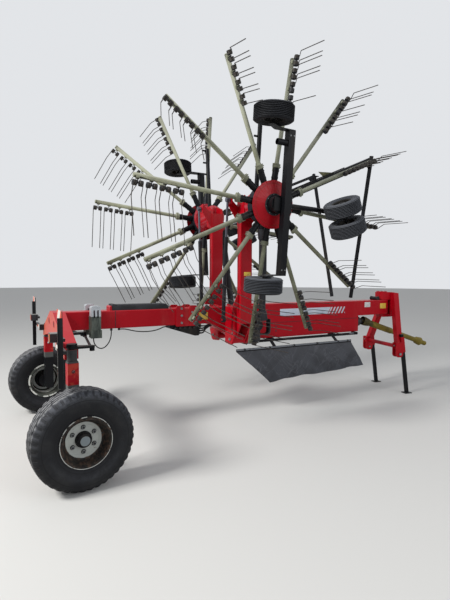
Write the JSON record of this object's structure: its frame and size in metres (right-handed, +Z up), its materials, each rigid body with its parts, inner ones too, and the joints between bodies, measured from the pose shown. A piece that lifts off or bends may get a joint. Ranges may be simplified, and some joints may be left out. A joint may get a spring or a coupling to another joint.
{
  "type": "towed twin-rotor rotary hay rake",
  "caption": "Towed rotary hay rake with side rotors folded upright, box beam chassis, steered rear wheels, swivelling headstock on parking stands and a side swath curtain.",
  "frame": {"origin": "on the ground under the middle of the machine's whole box", "axes": "+X forward towards the towing vehicle, +Y to the left, +Z up"},
  "size_m": [6.1199, 3.0652, 4.1],
  "materials": {
    "red_paint": "glossy deep red paint, faded and scuffed",
    "black_paint": "satin black paint, chipped at edges",
    "grey_arm": "weathered greenish grey coating",
    "spring_steel": "dark oil-tempered spring wire",
    "rim_paint": "pale grey rim paint, rusty in the well",
    "tyre_rubber": "dusty black rubber",
    "shaft_guard": "faded olive-yellow guard plastic",
    "black_guard": "black guard plastic",
    "galvanised": "dull zinc coating",
    "curtain_cloth": "charcoal coated cloth, creased",
    "board_sheet": "red and white board, black behind",
    "cast_dark": "dark cast housing",
    "hydraulic": "dark grey cylinder paint"
  },
  "bodies": {
    "frame": {"main_beam": "red_paint", "beam_flanges": "red_paint", "boom_yoke": "red_paint", "rear_portal": "red_paint", "relay_post": "black_paint", "central_gearbox": "cast_dark", "input_housing": "cast_dark", "warning_boards": "board_sheet", "wheel_chocks": "galvanised", "beam_cover": "black_guard", "valve_block": "black_paint", "cable_clips": "black_guard", "cable_sag": "black_guard", "cable_loop": "black_guard", "curtain_frame": "black_paint", "swath_curtain": "curtain_cloth"},
    "headstock": {"headstock": "red_paint", "hitch_clevis_right": "red_paint", "hitch_clevis_left": "red_paint"},
    "propeller_shaft": {"propeller_shaft": "shaft_guard"},
    "relay_lever": {"relay_lever": "black_paint"},
    "stand_right": {"parking_stand_right": "black_paint"},
    "knuckle_right": {"steering_knuckle_right": "red_paint"},
    "road_wheel_right": {"road_tyre_right": "tyre_rubber", "road_rim_right": "rim_paint"},
    "tie_rod_right": {"tie_rod_right": "black_paint"},
    "boom_right": {"boom_right": "red_paint", "rotor_gearbox_right": "cast_dark", "drive_shaft_right": "black_guard", "rotor_chassis_right": "black_paint", "guard_bow_right": "black_paint"},
    "rotor_right": {"rotor_disc_right": "red_paint", "rotor_arms_right": "grey_arm", "rotor_tines_right": "spring_steel"},
    "chassis_wheel_upper_right": {"chassis_wheel_upper_right": "tyre_rubber"},
    "chassis_wheel_lower_right": {"chassis_wheel_lower_right": "tyre_rubber"},
    "castor_right": {"castor_fork_right": "black_paint"},
    "castor_wheels_right": {"castor_wheels_right": "tyre_rubber"},
    "lift_barrel_right": {"lift_barrel_right": "hydraulic"},
    "lift_rod_right": {"lift_rod_right": "hydraulic"},
    "stand_left": {"parking_stand_left": "black_paint"},
    "knuckle_left": {"steering_knuckle_left": "red_paint"},
    "road_wheel_left": {"road_tyre_left": "tyre_rubber", "road_rim_left": "rim_paint"},
    "tie_rod_left": {"tie_rod_left": "black_paint"},
    "boom_left": {"boom_left": "red_paint", "rotor_gearbox_left": "cast_dark", "drive_shaft_left": "black_guard", "rotor_chassis_left": "black_paint", "guard_bow_left": "black_paint"},
    "rotor_left": {"rotor_disc_left": "red_paint", "rotor_arms_left": "grey_arm", "rotor_tines_left": "spring_steel"},
    "chassis_wheel_upper_left": {"chassis_wheel_upper_left": "tyre_rubber"},
    "chassis_wheel_lower_left": {"chassis_wheel_lower_left": "tyre_rubber"},
    "castor_left": {"castor_fork_left": "black_paint"},
    "castor_wheels_left": {"castor_wheels_left": "tyre_rubber"},
    "lift_barrel_left": {"lift_barrel_left": "hydraulic"},
    "lift_rod_left": {"lift_rod_left": "hydraulic"}
  },
  "joints": [
    {"name": "headstock_swivel", "type": "hinge", "parent": "frame", "child": "headstock", "pos_m": [2.1974, 0, 1.3], "axis": [0, 0, 1], "range_deg": [-49.3, 70.7]},
    {"name": "propeller_shaft_swing", "type": "hinge", "parent": "frame", "child": "propeller_shaft", "pos_m": [1.8174, 0, 1.088], "axis": [0, 0, 1], "range_deg": [-17.8, 25.5]},
    {"name": "relay_lever_turn", "type": "hinge", "parent": "frame", "child": "relay_lever", "pos_m": [-2.4976, 0, 1.145], "axis": [0, 0, 1], "range_deg": [-41, 28.5]},
    {"name": "stand_slide_right", "type": "slide", "parent": "headstock", "child": "stand_right", "axis": [-0.1368, 0.0258, 0.9903], "range_m": [0, 0.35]},
    {"name": "steering_right", "type": "hinge", "parent": "frame", "child": "knuckle_right", "pos_m": [-2.6026, -0.93, 1.08], "axis": [0, 0, 1], "range_deg": [-41, 28.5]},
    {"name": "wheel_spin_right", "type": "hinge", "parent": "knuckle_right", "child": "road_wheel_right", "pos_m": [-2.57338, -1.20344, 0.4225], "axis": [-0.1063, 0.9943, 0], "continuous": true},
    {"name": "tie_rod_swing_right", "type": "hinge", "parent": "relay_lever", "child": "tie_rod_right", "pos_m": [-2.32928, -0.02224, 1.12], "axis": [0, 0, 1], "range_deg": [-28.5, 41]},
    {"name": "boom_fold_right", "type": "hinge", "parent": "frame", "child": "boom_right", "pos_m": [-0.5276, -0.23, 0.995], "axis": [1, 0, 0], "range_deg": [0, 84.33]},
    {"name": "rotor_spin_right", "type": "hinge", "parent": "boom_right", "child": "rotor_right", "pos_m": [-0.4736, -0.843, 2.557], "axis": [0, -0.9951, -0.0988], "continuous": true},
    {"name": "chassis_wheel_upper_spin_right", "type": "hinge", "parent": "boom_right", "child": "chassis_wheel_upper_right", "pos_m": [-0.7236, -1.26134, 3.36964], "axis": [0, -0.0988, 0.9951], "continuous": true},
    {"name": "chassis_wheel_lower_spin_right", "type": "hinge", "parent": "boom_right", "child": "chassis_wheel_lower_right", "pos_m": [-0.7236, -1.09338, 1.67796], "axis": [0, -0.0988, 0.9951], "continuous": true},
    {"name": "castor_swivel_right", "type": "hinge", "parent": "boom_right", "child": "castor_right", "pos_m": [0.4504, -0.93955, 2.51727], "axis": [0, 0.9951, 0.0988], "range_deg": [0, 50]},
    {"name": "castor_wheels_spin_right", "type": "hinge", "parent": "castor_right", "child": "castor_wheels_right", "pos_m": [0.31445, -1.16813, 2.43087], "axis": [0.4226, 0.0895, -0.9019], "continuous": true},
    {"name": "lift_barrel_swing_right", "type": "hinge", "parent": "frame", "child": "lift_barrel_right", "pos_m": [-0.7726, -0.3, 1.25], "axis": [1, 0, 0], "range_deg": [0, 95.27]},
    {"name": "lift_rod_slide_right", "type": "slide", "parent": "lift_barrel_right", "child": "lift_rod_right", "axis": [0, -0.071, 0.9975], "range_m": [0, 0.2117]},
    {"name": "stand_slide_left", "type": "slide", "parent": "headstock", "child": "stand_left", "axis": [-0.1368, 0.0258, 0.9903], "range_m": [0, 0.35]},
    {"name": "steering_left", "type": "hinge", "parent": "frame", "child": "knuckle_left", "pos_m": [-2.6026, 0.93, 1.08], "axis": [0, 0, 1], "range_deg": [-41, 28.5]},
    {"name": "wheel_spin_left", "type": "hinge", "parent": "knuckle_left", "child": "road_wheel_left", "pos_m": [-2.63182, 1.20344, 0.4225], "axis": [-0.1063, 0.9943, 0], "continuous": true},
    {"name": "tie_rod_swing_left", "type": "hinge", "parent": "relay_lever", "child": "tie_rod_left", "pos_m": [-2.33778, 0.05731, 1.12], "axis": [0, 0, 1], "range_deg": [-28.5, 41]},
    {"name": "boom_fold_left", "type": "hinge", "parent": "frame", "child": "boom_left", "pos_m": [-0.5276, 0.23, 0.995], "axis": [-1, 0, 0], "range_deg": [0, 84.33]},
    {"name": "rotor_spin_left", "type": "hinge", "parent": "boom_left", "child": "rotor_left", "pos_m": [-0.4736, 0.843, 2.557], "axis": [0, 0.9951, -0.0988], "continuous": true},
    {"name": "chassis_wheel_upper_spin_left", "type": "hinge", "parent": "boom_left", "child": "chassis_wheel_upper_left", "pos_m": [-0.7236, 1.26134, 3.36964], "axis": [0, 0.0988, 0.9951], "continuous": true},
    {"name": "chassis_wheel_lower_spin_left", "type": "hinge", "parent": "boom_left", "child": "chassis_wheel_lower_left", "pos_m": [-0.7236, 1.09338, 1.67796], "axis": [0, 0.0988, 0.9951], "continuous": true},
    {"name": "castor_swivel_left", "type": "hinge", "parent": "boom_left", "child": "castor_left", "pos_m": [0.4504, 0.93955, 2.51727], "axis": [0, 0.9951, -0.0988], "range_deg": [0, 50]},
    {"name": "castor_wheels_spin_left", "type": "hinge", "parent": "castor_left", "child": "castor_wheels_left", "pos_m": [0.31445, 1.16813, 2.43087], "axis": [0.4226, -0.0895, -0.9019], "continuous": true},
    {"name": "lift_barrel_swing_left", "type": "hinge", "parent": "frame", "child": "lift_barrel_left", "pos_m": [-0.7726, 0.3, 1.25], "axis": [-1, 0, 0], "range_deg": [0, 95.27]},
    {"name": "lift_rod_slide_left", "type": "slide", "parent": "lift_barrel_left", "child": "lift_rod_left", "axis": [0, 0.071, 0.9975], "range_m": [0, 0.2117]}
  ],
  "couplings": [
    {"joint": "propeller_shaft_swing", "follows": "headstock_swivel", "ratio": 0.36},
    {"joint": "relay_lever_turn", "follows": "headstock_swivel", "ratio": -0.57},
    {"joint": "steering_right", "follows": "headstock_swivel", "ratio": -0.57},
    {"joint": "tie_rod_swing_right", "follows": "headstock_swivel", "ratio": 0.57},
    {"joint": "lift_barrel_swing_right", "follows": "boom_fold_right", "ratio": 1.1286},
    {"joint": "lift_rod_slide_right", "follows": "boom_fold_right", "m_per_rad": 0.14346},
    {"joint": "steering_left", "follows": "headstock_swivel", "ratio": -0.57},
    {"joint": "tie_rod_swing_left", "follows": "headstock_swivel", "ratio": 0.57},
    {"joint": "lift_barrel_swing_left", "follows": "boom_fold_left", "ratio": 1.1286},
    {"joint": "lift_rod_slide_left", "follows": "boom_fold_left", "m_per_rad": 0.14346}
  ]
}
